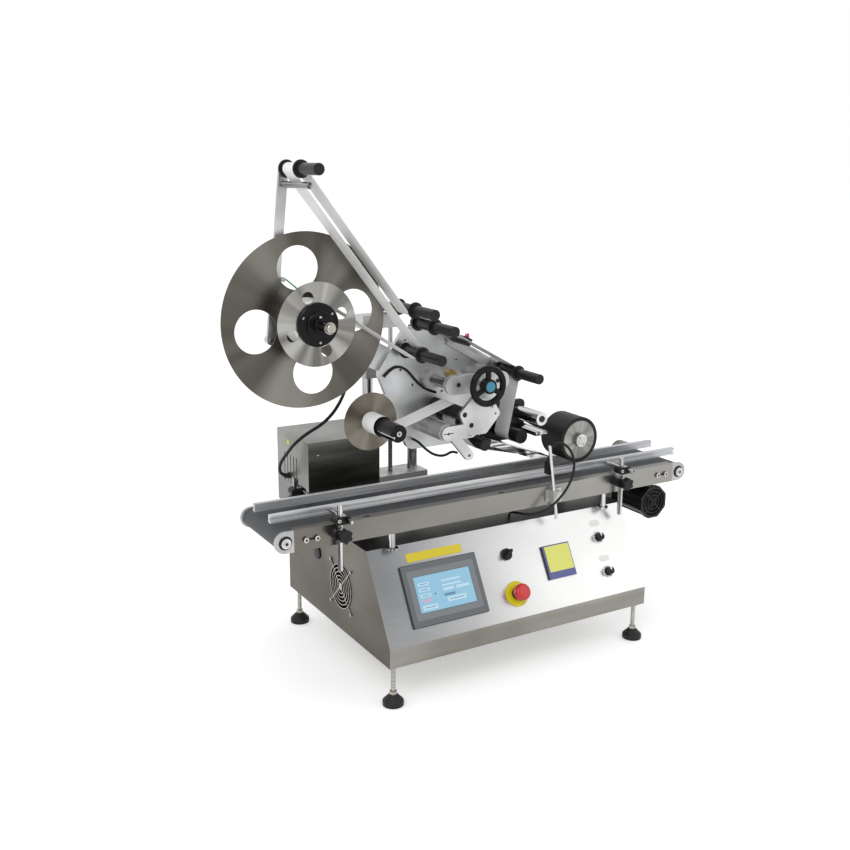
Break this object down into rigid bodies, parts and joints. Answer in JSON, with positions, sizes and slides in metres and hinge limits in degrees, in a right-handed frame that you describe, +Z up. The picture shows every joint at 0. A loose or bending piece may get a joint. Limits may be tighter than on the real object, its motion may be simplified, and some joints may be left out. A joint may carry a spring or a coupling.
{
  "type": "bottle labelling machine",
  "caption": "Bench machine that carries bottles on a belt between guide rails and feeds labels from a reel over rollers to a peel edge and a pressing roller.",
  "frame": {"origin": "on the floor under the middle of the machine's bounding box", "axes": "+X along the conveyor towards its driven end, +Y away from the operator, +Z up"},
  "size_m": [1.216, 0.5757, 1.1715],
  "materials": {
    "aluminium": "satin",
    "belt": "matte",
    "black_plastic": "matte",
    "brushed_steel": "brushed",
    "cable": "satin",
    "green_belt": "satin",
    "motor_paint": "satin",
    "panel_plastic": "matte",
    "paper": "matte",
    "polished_steel": "polished",
    "red_plastic": "gloss",
    "roller_black": "black anodised",
    "rubber_black": "matte",
    "tyre_black": "matte",
    "white_paint": "painted satin"
  },
  "bodies": {
    "machine": {"cabinet": "brushed_steel", "levelling_feet": "rubber_black", "touch_panel": "panel_plastic", "cabinet_fittings": "black_plastic", "side_fan": "black_plastic", "standoff_posts": "polished_steel", "conveyor_frame": "aluminium", "conveyor_belt": "belt", "conveyor_end_plates": "aluminium", "gear_motor": "motor_paint", "drive_housing": "brushed_steel", "rail_brackets": "polished_steel", "driver_box": "brushed_steel", "lift_columns": "polished_steel", "sensor_bracket": "polished_steel", "sensor_cable": "cable", "head_harness": "cable"},
    "estop": {"estop_button": "red_plastic"},
    "selector": {"selector_knob": "black_plastic"},
    "dial_upper": {"speed_dial_upper": "black_plastic"},
    "dial_lower": {"speed_dial_lower": "black_plastic"},
    "fan": {"fan_rotor": "black_plastic"},
    "drive": {"drive_roller": "aluminium"},
    "idle": {"idle_roller": "aluminium"},
    "motor_drive": {"motor_pulley": "aluminium"},
    "front_rail": {"front_guide_rail": "aluminium"},
    "back_rail": {"back_guide_rail": "aluminium"},
    "knob_front_left": {"rail_knob_front_left": "black_plastic"},
    "knob_front_right": {"rail_knob_front_right": "black_plastic"},
    "knob_back_left": {"rail_knob_back_left": "black_plastic"},
    "knob_back_right": {"rail_knob_back_right": "black_plastic"},
    "lift_spindle": {"lift_screw": "black_plastic"},
    "lift": {"lift_carriage": "aluminium", "cross_frame": "polished_steel"},
    "cross_wheel": {"cross_handwheel": "polished_steel"},
    "head": {"main_plate": "white_paint", "side_plate": "white_paint", "head_fixings": "aluminium", "traction_motor": "black_plastic", "reel_arm": "aluminium", "nose_plate": "aluminium", "peel_plate": "polished_steel", "label_web": "paper", "brake_belt": "green_belt", "plate_cable": "cable", "arm_cable": "cable"},
    "reel": {"label_reel": "polished_steel"},
    "dancer": {"dancer_arm": "aluminium"},
    "top_guide": {"top_guide_roller": "roller_black"},
    "lower_guide": {"lower_guide_roller": "roller_black"},
    "first_guide": {"first_guide_roller": "roller_black"},
    "second_guide": {"second_guide_roller": "roller_black"},
    "fourth_guide": {"fourth_guide_roller": "roller_black"},
    "hold_down": {"hold_down_roller": "roller_black"},
    "liner": {"liner_roller": "roller_black"},
    "traction": {"traction_roller": "rubber_black"},
    "pinch": {"pinch_roller": "aluminium"},
    "rewind": {"rewind_mandrel": "roller_black"},
    "press": {"press_arm": "polished_steel"},
    "press_wheel": {"press_roller": "tyre_black"}
  },
  "joints": [
    {"name": "estop_push", "type": "slide", "parent": "machine", "child": "estop", "axis": [0, 0.8657, -0.5005], "range_m": [0, 0.005], "stiffness_N_per_m": 700},
    {"name": "selector_turn", "type": "hinge", "parent": "machine", "child": "selector", "pos_m": [0.022, -0.20242, 0.27073], "axis": [0, -0.8657, 0.5005], "range_deg": [-45, 45]},
    {"name": "dial_upper_turn", "type": "hinge", "parent": "machine", "child": "dial_upper", "pos_m": [0.299, -0.20543, 0.26553], "axis": [0, -0.8657, 0.5005], "range_deg": [-135, 135]},
    {"name": "dial_lower_turn", "type": "hinge", "parent": "machine", "child": "dial_lower", "pos_m": [0.299, -0.24897, 0.19021], "axis": [0, -0.8657, 0.5005], "range_deg": [-135, 135]},
    {"name": "fan_spin", "type": "hinge", "parent": "machine", "child": "fan", "pos_m": [-0.317, -0.04, 0.204], "axis": [1, 0, 0], "continuous": true},
    {"name": "drive_roller_spin", "type": "hinge", "parent": "machine", "child": "drive", "pos_m": [0.5735, -0.088, 0.39375], "axis": [0, 1, 0], "continuous": true},
    {"name": "idle_roller_spin", "type": "hinge", "parent": "machine", "child": "idle", "pos_m": [-0.5315, -0.088, 0.39375], "axis": [0, 1, 0], "continuous": true},
    {"name": "motor_pulley_spin", "type": "hinge", "parent": "machine", "child": "motor_drive", "pos_m": [0.509, 0.02, 0.315], "axis": [0, 1, 0], "continuous": true},
    {"name": "front_rail_slide", "type": "slide", "parent": "machine", "child": "front_rail", "axis": [0, 1, 0], "range_m": [-0.02, 0.025]},
    {"name": "back_rail_slide", "type": "slide", "parent": "machine", "child": "back_rail", "axis": [0, 1, 0], "range_m": [-0.025, 0.02]},
    {"name": "knob_front_left_turn", "type": "hinge", "parent": "machine", "child": "knob_front_left", "pos_m": [-0.412, -0.216, 0.4], "axis": [0, 1, 0], "range_deg": [-180, 180]},
    {"name": "knob_front_right_turn", "type": "hinge", "parent": "machine", "child": "knob_front_right", "pos_m": [0.366, -0.216, 0.4], "axis": [0, 1, 0], "range_deg": [-180, 180]},
    {"name": "knob_back_left_turn", "type": "hinge", "parent": "machine", "child": "knob_back_left", "pos_m": [-0.412, 0.04, 0.4], "axis": [0, 1, 0], "range_deg": [-180, 180]},
    {"name": "knob_back_right_turn", "type": "hinge", "parent": "machine", "child": "knob_back_right", "pos_m": [0.366, 0.04, 0.4], "axis": [0, 1, 0], "range_deg": [-180, 180]},
    {"name": "head_lift", "type": "slide", "parent": "machine", "child": "lift", "axis": [0, 0, 1], "range_m": [0, 0.06], "deforming": ["head_harness"]},
    {"name": "lift_screw_turn", "type": "hinge", "parent": "machine", "child": "lift_spindle", "pos_m": [-0.0585, 0.22, 0.806], "axis": [0, 0, 1], "range_deg": [0, 2700]},
    {"name": "head_cross", "type": "slide", "parent": "lift", "child": "head", "axis": [0, 1, 0], "range_m": [-0.02, 0.012]},
    {"name": "cross_wheel_turn", "type": "hinge", "parent": "lift", "child": "cross_wheel", "pos_m": [-0.032, -0.184, 0.68], "axis": [0, 1, 0], "range_deg": [-1440, 864]},
    {"name": "reel_spin", "type": "hinge", "parent": "head", "child": "reel", "pos_m": [-0.418, -0.086, 0.836], "axis": [0, 1, 0], "continuous": true},
    {"name": "dancer_swing", "type": "hinge", "parent": "head", "child": "dancer", "pos_m": [-0.488, -0.032, 0.795], "axis": [0, 1, 0], "range_deg": [0, 6], "stiffness_Nm_per_rad": 6, "springref_deg": -8.59, "deforming": ["label_web", "brake_belt"]},
    {"name": "top_guide_spin", "type": "hinge", "parent": "dancer", "child": "top_guide", "pos_m": [-0.451, -0.086, 1.153], "axis": [0, 1, 0], "continuous": true},
    {"name": "lower_guide_spin", "type": "hinge", "parent": "head", "child": "lower_guide", "pos_m": [-0.165, -0.086, 0.751], "axis": [0, 1, 0], "continuous": true},
    {"name": "first_guide_spin", "type": "hinge", "parent": "head", "child": "first_guide", "pos_m": [-0.184, -0.086, 0.852], "axis": [0, 1, 0], "continuous": true},
    {"name": "second_guide_spin", "type": "hinge", "parent": "head", "child": "second_guide", "pos_m": [-0.133, -0.086, 0.812], "axis": [0, 1, 0], "continuous": true},
    {"name": "fourth_guide_spin", "type": "hinge", "parent": "head", "child": "fourth_guide", "pos_m": [0.099, -0.086, 0.686], "axis": [0, 1, 0], "continuous": true},
    {"name": "hold_down_spin", "type": "hinge", "parent": "head", "child": "hold_down", "pos_m": [0.098, -0.086, 0.536], "axis": [0, 1, 0], "continuous": true},
    {"name": "liner_roller_spin", "type": "hinge", "parent": "head", "child": "liner", "pos_m": [-0.005, -0.086, 0.528], "axis": [0, 1, 0], "continuous": true},
    {"name": "traction_spin", "type": "hinge", "parent": "head", "child": "traction", "pos_m": [-0.055, -0.086, 0.585], "axis": [0, 1, 0], "continuous": true},
    {"name": "pinch_spin", "type": "hinge", "parent": "head", "child": "pinch", "pos_m": [-0.07339, -0.086, 0.61155], "axis": [0, 1, 0], "continuous": true},
    {"name": "rewind_spin", "type": "hinge", "parent": "head", "child": "rewind", "pos_m": [-0.261, -0.086, 0.596], "axis": [0, 1, 0], "continuous": true},
    {"name": "press_arm_swing", "type": "hinge", "parent": "head", "child": "press", "pos_m": [0.158, -0.086, 0.572], "axis": [0, 1, 0], "range_deg": [-15, 0]},
    {"name": "press_roller_spin", "type": "hinge", "parent": "press", "child": "press_wheel", "pos_m": [0.281, -0.1, 0.504], "axis": [0, 1, 0], "continuous": true}
  ],
  "couplings": [
    {"joint": "idle_roller_spin", "follows": "drive_roller_spin", "ratio": 1},
    {"joint": "motor_pulley_spin", "follows": "drive_roller_spin", "ratio": 1},
    {"joint": "lift_screw_turn", "follows": "head_lift", "rad_per_m": 785.4},
    {"joint": "cross_wheel_turn", "follows": "head_cross", "rad_per_m": 1256.6},
    {"joint": "lower_guide_spin", "follows": "reel_spin", "ratio": -4.12},
    {"joint": "top_guide_spin", "follows": "reel_spin", "ratio": 4.12},
    {"joint": "first_guide_spin", "follows": "reel_spin", "ratio": -4.12},
    {"joint": "second_guide_spin", "follows": "reel_spin", "ratio": 4.12},
    {"joint": "fourth_guide_spin", "follows": "reel_spin", "ratio": 4.12},
    {"joint": "hold_down_spin", "follows": "reel_spin", "ratio": -2.9429},
    {"joint": "liner_roller_spin", "follows": "reel_spin", "ratio": 3.5517},
    {"joint": "traction_spin", "follows": "reel_spin", "ratio": 3.3226},
    {"joint": "pinch_spin", "follows": "reel_spin", "ratio": -3.1212},
    {"joint": "rewind_spin", "follows": "reel_spin", "ratio": 2.1458}
  ]
}
